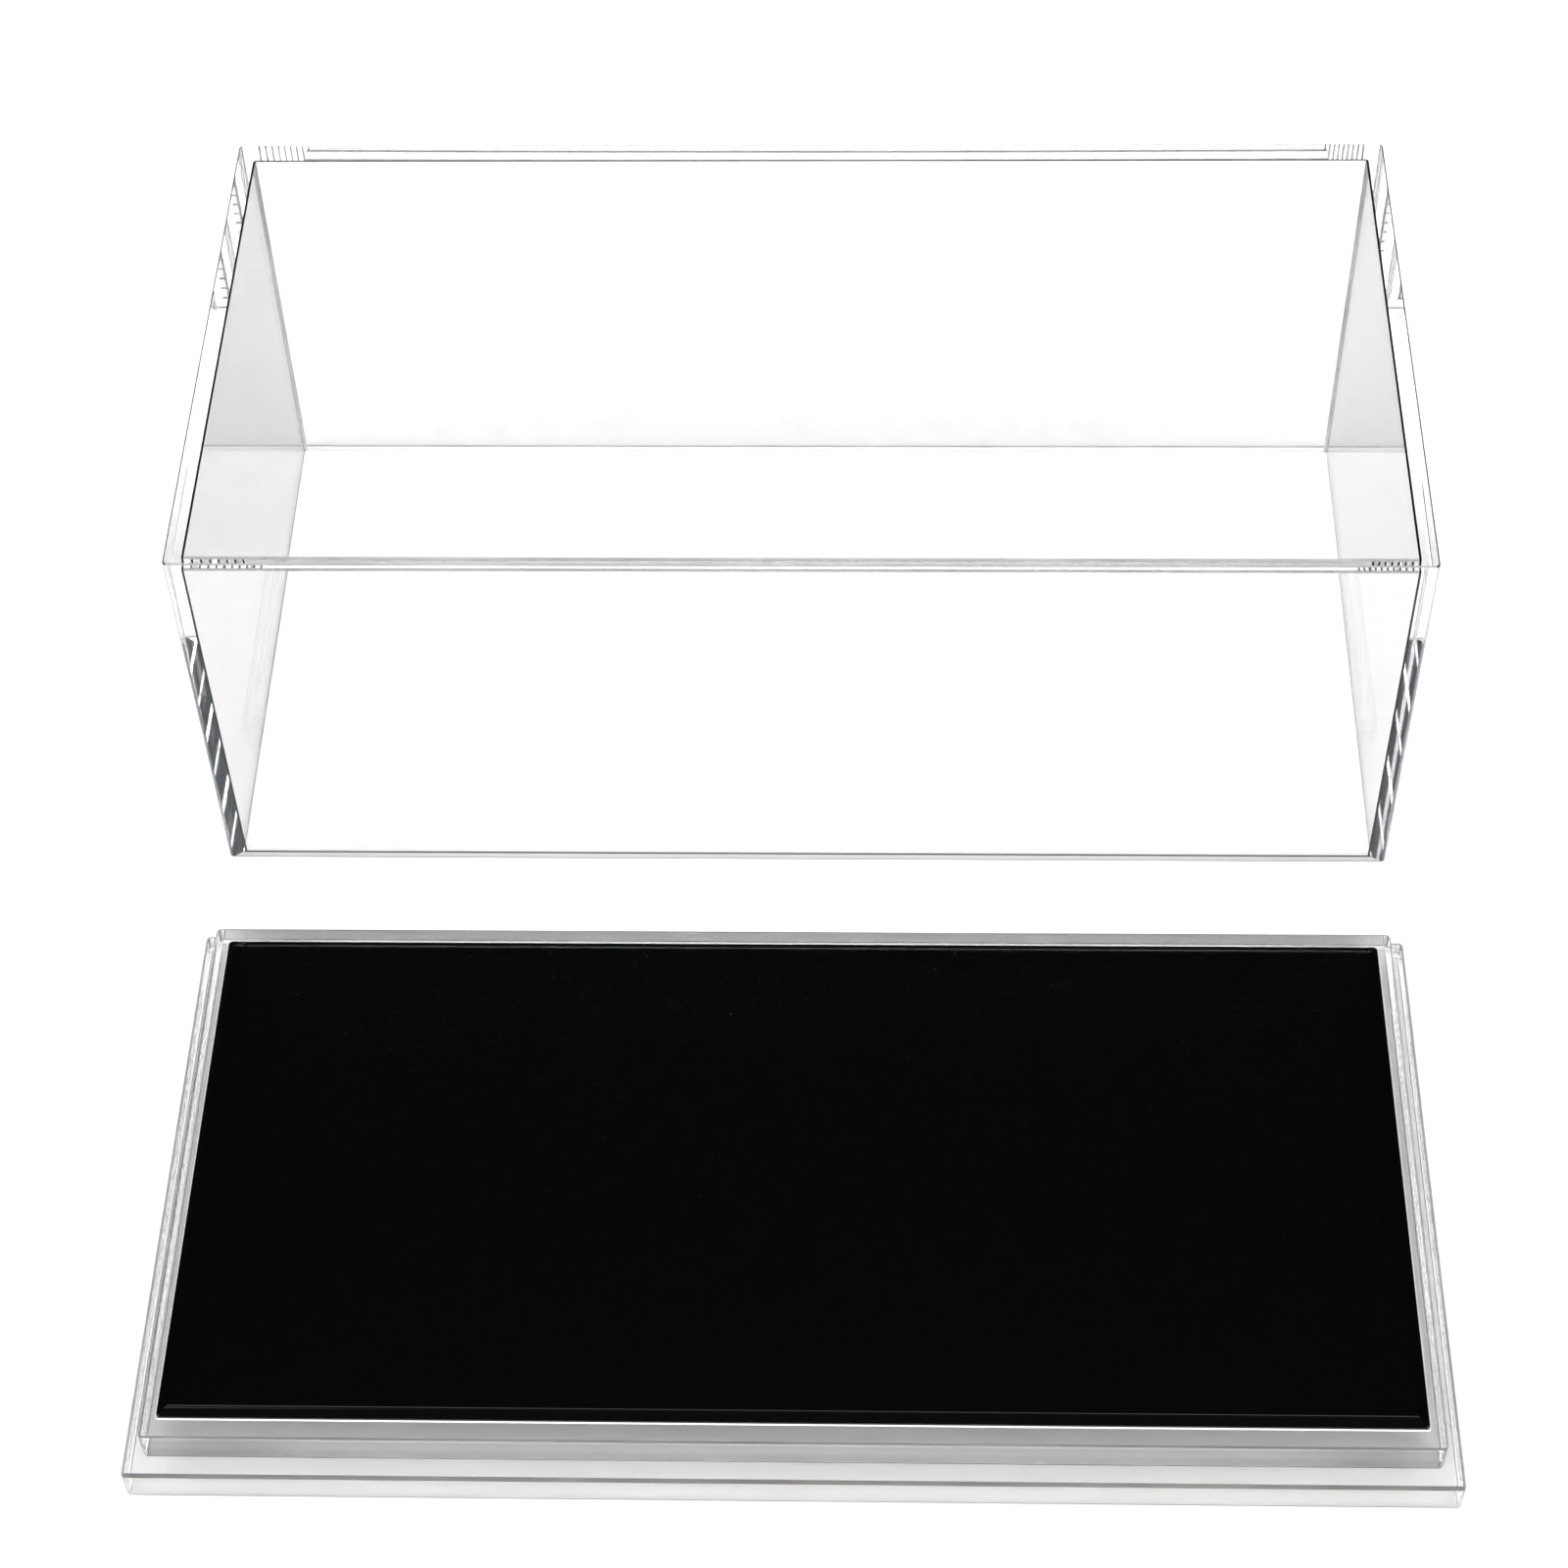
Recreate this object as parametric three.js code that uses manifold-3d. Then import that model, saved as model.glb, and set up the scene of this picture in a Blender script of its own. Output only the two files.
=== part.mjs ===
import * as THREE from "three";
import { mergeVertices } from "three/addons/utils/BufferGeometryUtils.js";
import Module from "manifold-3d";

// A display case for one model car, in millimetres, with +Z up.
// A five-sided cover of clear sheet closes over a two-tier clear base with a black deck.
// The cover is off: it stands on the table behind the base (+Y), and X runs along the width.
// The origin lies on the table, midway between the base and the cover.

// Cover: outer sizes of the bonded box, and the sheet that its five panels are cut from
const coverWidth = 320;
const coverDepth = 161;
const coverHeight = 119;
const coverSheet = 4;

// Base: the plate that the cover's rim stands on, and the plinth that locates the rim from inside
const plateThickness = 10;
const plinthThickness = 10;
const seatClearance = 1;

// Deck: the black sheet that the model stands on, with a shallow bevel round its top
const deckThickness = 2;
const deckSideMargin = 4;
const deckFrontMargin = 5;
const deckBevelWidth = 2.2;
const deckBevelDrop = 1.1;
const deckCornerRadius = 0.9;

// Feet: clear round bumpers near the plate's corners, standing on a narrower contact ring
const footDiameter = 10;
const footHeight = 2;
const footContactDiameter = 7.6;
const footInset = 13;

// Edge finish and joints
const cornerRadius = 1.2;
const polishedArris = 0.4;
const bondLine = 0.05;

// Place of the cover that has been taken off: the clear gap between the base and its front
const standGap = 36.5;

// Resolution of the round corners and of the feet, and the overrun of every cutting solid
const cornerSteps = 4;
const footRimSteps = 4;
const footSides = 32;
const cutOverrun = 1;

const manifold = await Module();
manifold.setup();

// A closed three.js geometry as a solid that can be cut
function toSolid(geometry) {
  const bare = geometry.index ? geometry.toNonIndexed() : geometry.clone();
  bare.deleteAttribute("normal");
  bare.deleteAttribute("uv");
  const merged = mergeVertices(bare);
  return new manifold.Manifold(new manifold.Mesh({
    numProp: 3,
    vertProperties: new Float32Array(merged.attributes.position.array),
    triVerts: new Uint32Array(merged.index.array),
  }));
}

// A cut solid as a three.js geometry with flat-shaded faces
function toGeometry(solid) {
  const mesh = solid.getMesh();
  const geometry = new THREE.BufferGeometry();
  geometry.setAttribute("position", new THREE.BufferAttribute(mesh.vertProperties, 3));
  geometry.setIndex(new THREE.BufferAttribute(mesh.triVerts, 1));
  const faceted = geometry.toNonIndexed();
  faceted.computeVertexNormals();
  return faceted;
}

// Corner points of a rectangle with rounded corners, anticlockwise seen from above
function roundedOutline(width, depth, radius) {
  const centreX = width / 2 - radius;
  const centreY = depth / 2 - radius;
  const quarters = [[1, 1], [-1, 1], [-1, -1], [1, -1]];
  const points = [];
  quarters.forEach(([sideX, sideY], quarter) => {
    for (let step = 0; step <= cornerSteps; step += 1) {
      const angle = (quarter + step / cornerSteps) * Math.PI / 2;
      const x = sideX * centreX + radius * Math.cos(angle);
      const y = sideY * centreY + radius * Math.sin(angle);
      points.push(new THREE.Vector2(x, y));
    }
  });
  return points;
}

// Joins rounded rectangles at rising heights into one closed solid with flat ends
function loftSections(sections) {
  const rings = sections.map(({ width, depth, radius }) => roundedOutline(width, depth, radius));
  const count = rings[0].length;
  const positions = rings.flatMap((ring, level) => ring.flatMap(({ x, y }) => [x, y, sections[level].height]));
  const indices = [];
  for (let level = 0; level < rings.length - 1; level += 1) {
    for (let side = 0; side < count; side += 1) {
      const next = (side + 1) % count;
      const low = level * count;
      const high = low + count;
      indices.push(low + side, low + next, high + next);
      indices.push(low + side, high + next, high + side);
    }
  }
  const top = (rings.length - 1) * count;
  for (const [a, b, c] of THREE.ShapeUtils.triangulateShape(rings[0], [])) {
    indices.push(a, c, b);
    indices.push(top + a, top + b, top + c);
  }
  const geometry = new THREE.BufferGeometry();
  geometry.setAttribute("position", new THREE.Float32BufferAttribute(positions, 3));
  geometry.setIndex(indices);
  const faceted = geometry.toNonIndexed();
  faceted.computeVertexNormals();
  return faceted;
}

// A slab of polished sheet: rounded upright corners and a small arris round both faces
function polishedSlab(width, depth, thickness) {
  const full = { width, depth, radius: cornerRadius };
  const eased = {
    width: width - 2 * polishedArris,
    depth: depth - 2 * polishedArris,
    radius: cornerRadius - polishedArris,
  };
  return loftSections([
    { ...eased, height: 0 },
    { ...full, height: polishedArris },
    { ...full, height: thickness - polishedArris },
    { ...eased, height: thickness },
  ]);
}

function clearAcrylic() {
  return new THREE.MeshStandardMaterial({
    color: 0xeef3f3,
    roughness: 0.04,
    metalness: 0,
    transparent: true,
    opacity: 0.3,
  });
}

function blackAcrylic() {
  return new THREE.MeshStandardMaterial({ color: 0x060606, roughness: 0.12, metalness: 0 });
}

function clearRubber() {
  return new THREE.MeshStandardMaterial({
    color: 0xe4e7e6,
    roughness: 0.35,
    metalness: 0,
    transparent: true,
    opacity: 0.5,
  });
}

function namedMesh(name, geometry, material) {
  const mesh = new THREE.Mesh(geometry, material);
  mesh.name = name;
  return mesh;
}

// Tiers of the base, from the table up
const plateBottom = footHeight + bondLine;
const plinthBottom = plateBottom + plateThickness + bondLine;
const deckBottom = plinthBottom + plinthThickness + bondLine;

// The plinth fits inside the cover with the seat clearance on every side
const insideWidth = coverWidth - 2 * coverSheet;
const insideDepth = coverDepth - 2 * coverSheet;
const plinthWidth = insideWidth - 2 * seatClearance;
const plinthDepth = insideDepth - 2 * seatClearance;

// The plate is flush with the outside of the cover that stands on it
function basePlate() {
  const plate = namedMesh("base_plate", polishedSlab(coverWidth, coverDepth, plateThickness), clearAcrylic());
  plate.position.z = plateBottom;
  return plate;
}

function plinth() {
  const block = namedMesh("plinth", polishedSlab(plinthWidth, plinthDepth, plinthThickness), clearAcrylic());
  block.position.z = plinthBottom;
  return block;
}

// A square-cut black sheet whose top edge falls away in a wide, shallow bevel
function displayDeck() {
  const full = {
    width: plinthWidth - 2 * deckSideMargin,
    depth: plinthDepth - 2 * deckFrontMargin,
    radius: deckCornerRadius,
  };
  const flatTop = {
    width: full.width - 2 * deckBevelWidth,
    depth: full.depth - 2 * deckBevelWidth,
    radius: deckCornerRadius,
  };
  const sheet = loftSections([
    { ...full, height: 0 },
    { ...full, height: deckThickness - deckBevelDrop },
    { ...flatTop, height: deckThickness },
  ]);
  const deck = namedMesh("display_deck", sheet, blackAcrylic());
  deck.position.z = deckBottom;
  return deck;
}

// Half section of a bumper: a flat contact face, a quarter-elliptic shoulder and an upright side
function footProfile() {
  const rimWidth = (footDiameter - footContactDiameter) / 2;
  const rimHeight = footHeight / 2;
  const points = [new THREE.Vector2(0, 0)];
  for (let step = 0; step <= footRimSteps; step += 1) {
    const angle = (step / footRimSteps) * Math.PI / 2;
    const x = footContactDiameter / 2 + rimWidth * Math.sin(angle);
    const y = rimHeight * (1 - Math.cos(angle));
    points.push(new THREE.Vector2(x, y));
  }
  points.push(new THREE.Vector2(footDiameter / 2, footHeight));
  points.push(new THREE.Vector2(0, footHeight));
  return points;
}

// Four bumpers, each inset alike from the two nearest edges of the plate
function feet() {
  const places = [
    ["foot_front_left", -1, -1],
    ["foot_front_right", 1, -1],
    ["foot_back_left", -1, 1],
    ["foot_back_right", 1, 1],
  ];
  return places.map(([name, sideX, sideY]) => {
    const bumper = new THREE.LatheGeometry(footProfile(), footSides).rotateX(Math.PI / 2);
    const foot = namedMesh(name, bumper, clearRubber());
    foot.position.x = sideX * (coverWidth / 2 - footInset);
    foot.position.y = sideY * (coverDepth / 2 - footInset);
    return foot;
  });
}

// One wall of the cover before its outer edges are finished, with its outer face towards -Y.
// Its section stands on the rim, which has an arris inside, and ends under the top panel.
function wallBlank(length, outerFace) {
  const innerFace = outerFace + coverSheet;
  const wallTop = coverHeight - coverSheet - bondLine;
  const section = new THREE.Shape([
    new THREE.Vector2(outerFace - cutOverrun, -cutOverrun),
    new THREE.Vector2(innerFace - polishedArris - cutOverrun, -cutOverrun),
    new THREE.Vector2(innerFace, polishedArris),
    new THREE.Vector2(innerFace, wallTop),
    new THREE.Vector2(outerFace - cutOverrun, wallTop),
  ]);
  const blank = new THREE.ExtrudeGeometry(section, { depth: length, bevelEnabled: false });
  blank.translate(0, 0, -length / 2);
  blank.rotateX(Math.PI / 2);
  blank.rotateZ(Math.PI / 2);
  return blank;
}

// The top panel lies over the four walls and reaches their outer faces
function topBlank() {
  const width = coverWidth + 2 * cutOverrun;
  const depth = coverDepth + 2 * cutOverrun;
  const height = coverSheet + cutOverrun;
  const blank = new THREE.BoxGeometry(width, depth, height);
  blank.translate(0, 0, coverHeight - coverSheet + height / 2);
  return blank;
}

// Front and back walls run the full width, and the side walls fit between them
function coverPanels() {
  const finishedBox = toSolid(polishedSlab(coverWidth, coverDepth, coverHeight));
  const longWall = coverWidth + 2 * cutOverrun;
  const shortWall = insideDepth - 2 * bondLine;
  const blanks = [
    ["cover_top_panel", topBlank()],
    ["cover_front_panel", wallBlank(longWall, -coverDepth / 2)],
    ["cover_back_panel", wallBlank(longWall, -coverDepth / 2).rotateZ(Math.PI)],
    ["cover_left_panel", wallBlank(shortWall, -coverWidth / 2).rotateZ(-Math.PI / 2)],
    ["cover_right_panel", wallBlank(shortWall, -coverWidth / 2).rotateZ(Math.PI / 2)],
  ];
  return blanks.map(([name, blank]) => {
    const panel = finishedBox.intersect(toSolid(blank));
    return namedMesh(name, toGeometry(panel), clearAcrylic());
  });
}

const centreDistance = coverDepth + standGap;

const base = new THREE.Group();
base.add(basePlate(), plinth(), displayDeck(), ...feet());
base.position.y = -centreDistance / 2;

const cover = new THREE.Group();
cover.add(...coverPanels());
cover.position.y = centreDistance / 2;

const displayCase = new THREE.Group();
displayCase.add(base, cover);

export default displayCase;
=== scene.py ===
"""Looks of a clear display case for one model car.

A five-sided cover stands behind a stepped base with a black deck and four bumpers.
"""

import logging
import math
from collections.abc import Callable, Iterator
from contextlib import contextmanager
from dataclasses import dataclass
from enum import Enum

import bpy
from mathutils import Matrix, Vector


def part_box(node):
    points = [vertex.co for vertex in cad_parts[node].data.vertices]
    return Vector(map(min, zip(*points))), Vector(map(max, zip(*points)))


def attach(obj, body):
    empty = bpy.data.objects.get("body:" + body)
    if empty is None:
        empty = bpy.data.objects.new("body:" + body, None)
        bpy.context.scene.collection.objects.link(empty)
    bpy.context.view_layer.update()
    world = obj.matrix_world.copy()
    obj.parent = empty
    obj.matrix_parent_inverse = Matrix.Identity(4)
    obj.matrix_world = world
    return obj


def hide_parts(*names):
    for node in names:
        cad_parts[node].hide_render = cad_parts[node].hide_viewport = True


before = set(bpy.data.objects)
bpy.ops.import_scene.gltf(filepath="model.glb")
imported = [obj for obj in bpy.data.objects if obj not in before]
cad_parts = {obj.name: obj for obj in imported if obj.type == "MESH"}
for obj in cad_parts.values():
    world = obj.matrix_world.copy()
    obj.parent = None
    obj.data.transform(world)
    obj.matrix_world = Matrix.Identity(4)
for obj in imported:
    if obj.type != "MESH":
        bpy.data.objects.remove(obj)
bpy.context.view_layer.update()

MM = 0.001
# Places closer together than this are the same place, in metres
TOUCH = 1e-6
# Directions with more than this cosine between them are the same direction
PARALLEL = 0.999
# One part of a face's unit normal: above FLAT the face is square to that axis, with two parts
# above DIAGONAL it slants between two axes, and below ALONG it runs along that axis
FLAT = 0.99
DIAGONAL = 0.6
ALONG = 0.1
# Neighbouring faces closer in angle than this are shaded as one round
SMOOTH_ANGLE = math.radians(50)
# The widest single face of a round, apart from the bead's
ROUND_FACE = 0.5 * MM
ACRYLIC_IOR = 1.49

logging.basicConfig(level=logging.INFO, format="%(message)s")
log = logging.getLogger("display_case")


class Axis(Enum):
    """The directions that an edge of the case can run in."""

    X = Vector((1, 0, 0))
    Y = Vector((0, 1, 0))
    Z = Vector((0, 0, 1))


class Pick(Enum):
    """What is selected in a mesh, as the switches for its vertices, edges and faces."""

    EDGES = (False, True, False)
    FACES = (False, False, True)


def to_linear(hex_colour: str) -> tuple[float, float, float, float]:
    """Turns an sRGB hex colour into the linear colour that a shader takes.

    Args:
        hex_colour: the colour, such as "#f4f8f8".

    Returns:
        Red, green, blue and an alpha of one.
    """
    # The sRGB curve has a straight foot and goes on as a power
    shares = [int(hex_colour[i : i + 2], 16) / 255 for i in (1, 3, 5)]
    linear = [s / 12.92 if s <= 0.04045 else ((s + 0.055) / 1.055) ** 2.4 for s in shares]
    return (*linear, 1.0)


def add_node(
    tree: bpy.types.NodeTree,
    kind: str,
    settings: dict[str, object] | None = None,
    **inputs: object,
) -> bpy.types.Node:
    """Adds one node with its settings, values and links.

    Args:
        tree: the node tree that gets the node.
        kind: the node's type, without the leading "ShaderNode".
        settings: the node's own properties.
        inputs: a value or a socket for each input, which goes by its name with _ for a space, or
            by its number after "n".

    Returns:
        The new node.
    """
    node = tree.nodes.new("ShaderNode" + kind)
    for name, value in (settings or {}).items():
        setattr(node, name, value)
    for name, value in inputs.items():
        key = int(name[1:]) if name[1:].isdigit() else name.replace("_", " ")
        if isinstance(value, bpy.types.NodeSocket):
            tree.links.new(value, node.inputs[key])
        else:
            node.inputs[key].default_value = value
    return node


def new_tree(name: str) -> tuple[bpy.types.Material, bpy.types.NodeTree]:
    """Makes an empty node material.

    Args:
        name: the material's name.

    Returns:
        The material and its node tree.
    """
    material = bpy.data.materials.new(name)
    material.use_nodes = True
    material.node_tree.nodes.clear()
    return material, material.node_tree


@dataclass(frozen=True)
class ClearAcrylic:
    """Cast clear acrylic sheet: water-clear, with the faint roll of a cast face and some dust."""

    name: str = "clear cast acrylic, factory face"
    tint: str = "#ffffff"
    dust_tint: str = "#f9f9f9"
    dust_pitch: float = 9 * MM
    dust_start: float = 0.55
    dust_full: float = 0.8
    clear_roughness: float = 0.0
    dusty_roughness: float = 0.012
    roll_pitch: float = 60 * MM
    roll_depth: float = 0.004 * MM
    film_tint: str = "#8b8987"
    film_start: float = 0.62
    film_full: float = 0.80

    def material(self) -> bpy.types.Material:
        """Builds the material.

        Returns:
            The finished material.
        """
        material, tree = new_tree(self.name)
        place = add_node(tree, "TexCoord").outputs["Object"]
        # Dust: soft patches a few millimetres across, which take a little off the mirror polish
        dust = add_node(
            tree, "TexNoise", Vector=place, Scale=1 / self.dust_pitch, Detail=3.0, Roughness=0.55,
        )
        patches = add_node(
            tree, "MapRange", Value=dust.outputs["Fac"],
            From_Min=self.dust_start, From_Max=self.dust_full,
        )
        colour = add_node(
            tree, "Mix", {"data_type": "RGBA"}, n0=patches.outputs["Result"],
            n6=to_linear(self.tint), n7=to_linear(self.dust_tint),
        )
        polish = add_node(
            tree, "MapRange", Value=patches.outputs["Result"],
            To_Min=self.clear_roughness, To_Max=self.dusty_roughness,
        )
        # Film: seen along the sheet, the same dust adds up to a light grey veil
        slant = add_node(tree, "LayerWeight", Blend=0.5)
        veil = add_node(
            tree, "MapRange", Value=slant.outputs["Facing"],
            From_Min=self.film_start, From_Max=self.film_full,
        )
        veiled = add_node(
            tree, "Mix", {"data_type": "RGBA"}, n0=veil.outputs["Result"],
            n6=colour.outputs[2], n7=to_linear(self.film_tint),
        )
        # Roll: a cast face is flat to a few thousandths of a millimetre, and bends long reflections
        roll = add_node(
            tree, "TexNoise", Vector=place, Scale=1 / self.roll_pitch, Detail=1.0, Roughness=0.4,
        )
        bump = add_node(
            tree, "Bump", Height=roll.outputs["Fac"], Strength=1.0, Distance=self.roll_depth,
        )
        shader = add_node(
            tree, "BsdfPrincipled", Base_Color=veiled.outputs[2],
            Roughness=polish.outputs["Result"], IOR=ACRYLIC_IOR, Transmission_Weight=1.0,
            Normal=bump.outputs["Normal"],
        )
        add_node(tree, "OutputMaterial", Surface=shader.outputs["BSDF"])
        return material


@dataclass(frozen=True)
class FineLine:
    """A hair line of the clear sheets, such as a cement seam or a scraped arris, drawn in painted
    shade.

    The real line turns light away from the eye, so it shows as a thin dark or pale line; here that
    shade is painted into its colour.
    """

    name: str
    tint: str
    patch_tint: str
    transmission: float = 0.0
    gloss: float = 0.0
    patch_pitch: float = 30 * MM
    patch_start: float = 0.4
    patch_full: float = 0.65
    least_roughness: float = 0.1
    most_roughness: float = 0.3

    def material(self) -> bpy.types.Material:
        """Builds the material.

        Returns:
            The finished material.
        """
        material, tree = new_tree(self.name)
        place = add_node(tree, "TexCoord").outputs["Object"]
        # Patches: no hand-made line is even, so its strength drifts along its length
        drift = add_node(
            tree, "TexNoise", Vector=place, Scale=1 / self.patch_pitch, Detail=3.0, Roughness=0.6,
        )
        patches = add_node(
            tree, "MapRange", Value=drift.outputs["Fac"],
            From_Min=self.patch_start, From_Max=self.patch_full,
        )
        colour = add_node(
            tree, "Mix", {"data_type": "RGBA"}, n0=patches.outputs["Result"],
            n6=to_linear(self.tint), n7=to_linear(self.patch_tint),
        )
        polish = add_node(
            tree, "MapRange", Value=drift.outputs["Fac"],
            To_Min=self.least_roughness, To_Max=self.most_roughness,
        )
        shader = add_node(
            tree, "BsdfPrincipled", Base_Color=colour.outputs[2],
            Roughness=polish.outputs["Result"], IOR=ACRYLIC_IOR,
            Transmission_Weight=self.transmission, Specular_IOR_Level=self.gloss,
        )
        add_node(tree, "OutputMaterial", Surface=shader.outputs["BSDF"])
        return material


@dataclass(frozen=True)
class CutAcrylic:
    """A sawn, frosted or buffed face of clear acrylic: bright, but not flat enough to see through.

    What lies behind it blurs into one even tone.
    """

    name: str
    tint: str
    worn_tint: str
    transmission: float
    least_roughness: float
    most_roughness: float
    wear_pitch: float = 25 * MM

    def material(self) -> bpy.types.Material:
        """Builds the material.

        Returns:
            The finished material.
        """
        material, tree = new_tree(self.name)
        place = add_node(tree, "TexCoord").outputs["Object"]
        # Polish: a hand-held buff leaves long, weak differences along the edge
        wear = add_node(
            tree, "TexNoise", Vector=place, Scale=1 / self.wear_pitch, Detail=2.0, Roughness=0.4,
        )
        colour = add_node(
            tree, "Mix", {"data_type": "RGBA"}, n0=wear.outputs["Fac"],
            n6=to_linear(self.tint), n7=to_linear(self.worn_tint),
        )
        polish = add_node(
            tree, "MapRange", Value=wear.outputs["Fac"],
            To_Min=self.least_roughness, To_Max=self.most_roughness,
        )
        shader = add_node(
            tree, "BsdfPrincipled", Base_Color=colour.outputs[2],
            Roughness=polish.outputs["Result"], IOR=ACRYLIC_IOR,
            Transmission_Weight=self.transmission,
        )
        add_node(tree, "OutputMaterial", Surface=shader.outputs["BSDF"])
        return material


class Line(Enum):
    """The fine lines and the sawn rim of the clear sheets, each with its material: the rim a
    frosted finish, the lines painted shade.
    """

    # Seams and arrises that turn light away from the eye: their dark, grey and pale colours are
    # painted shade
    DARK_SEAM = FineLine("seams and arrises, painted dark shade", "#090b0d", "#15181b")
    GREY_SEAM = FineLine("rim arris, painted grey shade", "#33373a", "#4a4e52")
    PALE_SEAM = FineLine("seams and arrises, painted pale shade", "#8f9294", "#a8abad", gloss=0.5)
    # Arrises of the cover: the same scraped edge in painted shade, darker at the sides and paler at
    # the front and back
    COOL_ARRIS = FineLine("scraped arris of the cover, sides, painted dark shade", "#1c2024", "#2c3136")
    FAINT_ARRIS = FineLine(
        "scraped arris of the cover, front and back", "#9a9c9e", "#aaacae", transmission=0.4,
    )
    # Arrises of the base: a grey painted shade at the front and back, a pale painted shade at the
    # sides
    WARM_ARRIS = FineLine("scraped arris of the base, front and back", "#62605e", "#71706e")
    PALE_ARRIS = FineLine(
        "scraped arris of the base, sides, painted pale shade", "#8a8886", "#9f9d9b", transmission=0.3,
    )
    SAWN_RIM = CutAcrylic(
        "sawn rim of the cover", "#ffffff", "#f8f7f6",
        transmission=0.1, least_roughness=0.42, most_roughness=0.5,
    )


@dataclass(frozen=True)
class BlackAcrylic:
    """Black cast acrylic: a deep, even black, whose gloss depends on how it was finished."""

    name: str
    gloss: float
    least_roughness: float
    most_roughness: float
    ground: str = "#030303"
    dust: str = "#040404"
    dust_pitch: float = 5 * MM
    dust_start: float = 0.5
    dust_full: float = 0.8

    def material(self) -> bpy.types.Material:
        """Builds the material.

        Returns:
            The finished material.
        """
        material, tree = new_tree(self.name)
        place = add_node(tree, "TexCoord").outputs["Object"]
        # Dust: on black it shows as a trace of grey, and it takes a little off the polish
        dust = add_node(
            tree, "TexNoise", Vector=place, Scale=1 / self.dust_pitch, Detail=4.0, Roughness=0.6,
        )
        patches = add_node(
            tree, "MapRange", Value=dust.outputs["Fac"],
            From_Min=self.dust_start, From_Max=self.dust_full,
        )
        colour = add_node(
            tree, "Mix", {"data_type": "RGBA"}, n0=patches.outputs["Result"],
            n6=to_linear(self.ground), n7=to_linear(self.dust),
        )
        polish = add_node(
            tree, "MapRange", Value=patches.outputs["Result"],
            To_Min=self.least_roughness, To_Max=self.most_roughness,
        )
        shader = add_node(
            tree, "BsdfPrincipled", Base_Color=colour.outputs[2],
            Roughness=polish.outputs["Result"], IOR=ACRYLIC_IOR, Specular_IOR_Level=self.gloss,
        )
        add_node(tree, "OutputMaterial", Surface=shader.outputs["BSDF"])
        return material


@dataclass(frozen=True)
class AcrylicCement:
    """Set acrylic cement: a fine milky bead that catches the light where deck and plinth meet."""

    name: str = "set acrylic cement"
    milk: str = "#e6e6e6"
    shade: str = "#d2d2d2"
    grain_pitch: float = 1.5 * MM
    least_roughness: float = 0.25
    most_roughness: float = 0.45

    def material(self) -> bpy.types.Material:
        """Builds the material.

        Returns:
            The finished material.
        """
        material, tree = new_tree(self.name)
        place = add_node(tree, "TexCoord").outputs["Object"]
        # Grain: cement sets with fine bubbles in it, so its white is uneven along the bead
        grain = add_node(tree, "TexNoise", Vector=place, Scale=1 / self.grain_pitch, Detail=2.0)
        colour = add_node(
            tree, "Mix", {"data_type": "RGBA"}, n0=grain.outputs["Fac"],
            n6=to_linear(self.milk), n7=to_linear(self.shade),
        )
        polish = add_node(
            tree, "MapRange", Value=grain.outputs["Fac"],
            To_Min=self.least_roughness, To_Max=self.most_roughness,
        )
        shader = add_node(
            tree, "BsdfPrincipled", Base_Color=colour.outputs[2],
            Roughness=polish.outputs["Result"], IOR=ACRYLIC_IOR,
        )
        add_node(tree, "OutputMaterial", Surface=shader.outputs["BSDF"])
        return material


@dataclass(frozen=True)
class ClearBumperRubber:
    """Soft clear polyurethane: see-through but a little cloudy, with a satin skin."""

    name: str = "clear polyurethane bumper"
    tint: str = "#e9e9e8"
    cloud: str = "#dededd"
    cloud_pitch: float = 3 * MM
    least_roughness: float = 0.35
    most_roughness: float = 0.5
    refraction: float = 1.5
    transmission: float = 0.8

    def material(self) -> bpy.types.Material:
        """Builds the material.

        Returns:
            The finished material.
        """
        material, tree = new_tree(self.name)
        place = add_node(tree, "TexCoord").outputs["Object"]
        # Cloud: cast polyurethane keeps faint swirls, which make the bumper hazy here and there
        cloud = add_node(tree, "TexNoise", Vector=place, Scale=1 / self.cloud_pitch, Detail=2.0)
        colour = add_node(
            tree, "Mix", {"data_type": "RGBA"}, n0=cloud.outputs["Fac"],
            n6=to_linear(self.tint), n7=to_linear(self.cloud),
        )
        polish = add_node(
            tree, "MapRange", Value=cloud.outputs["Fac"],
            To_Min=self.least_roughness, To_Max=self.most_roughness,
        )
        shader = add_node(
            tree, "BsdfPrincipled", Base_Color=colour.outputs[2],
            Roughness=polish.outputs["Result"], IOR=self.refraction,
            Transmission_Weight=self.transmission,
        )
        add_node(tree, "OutputMaterial", Surface=shader.outputs["BSDF"])
        return material


@dataclass(frozen=True)
class TableLaminate:
    """White table laminate: pale, even and matt."""

    name: str = "white table laminate"
    ground: str = "#f5f5f5"
    grain: str = "#f3f3f3"
    grain_pitch: float = 3 * MM
    least_roughness: float = 0.55
    most_roughness: float = 0.65

    def material(self) -> bpy.types.Material:
        """Builds the material.

        Returns:
            The finished material.
        """
        material, tree = new_tree(self.name)
        place = add_node(tree, "TexCoord").outputs["Object"]
        # Grain: a faint matt grain, too even to see but for a trace of it in the reflections
        grain = add_node(tree, "TexNoise", Vector=place, Scale=1 / self.grain_pitch, Detail=2.0)
        colour = add_node(
            tree, "Mix", {"data_type": "RGBA"}, n0=grain.outputs["Fac"],
            n6=to_linear(self.ground), n7=to_linear(self.grain),
        )
        polish = add_node(
            tree, "MapRange", Value=grain.outputs["Fac"],
            To_Min=self.least_roughness, To_Max=self.most_roughness,
        )
        shader = add_node(
            tree, "BsdfPrincipled", Base_Color=colour.outputs[2],
            Roughness=polish.outputs["Result"],
        )
        add_node(tree, "OutputMaterial", Surface=shader.outputs["BSDF"])
        return material


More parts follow.
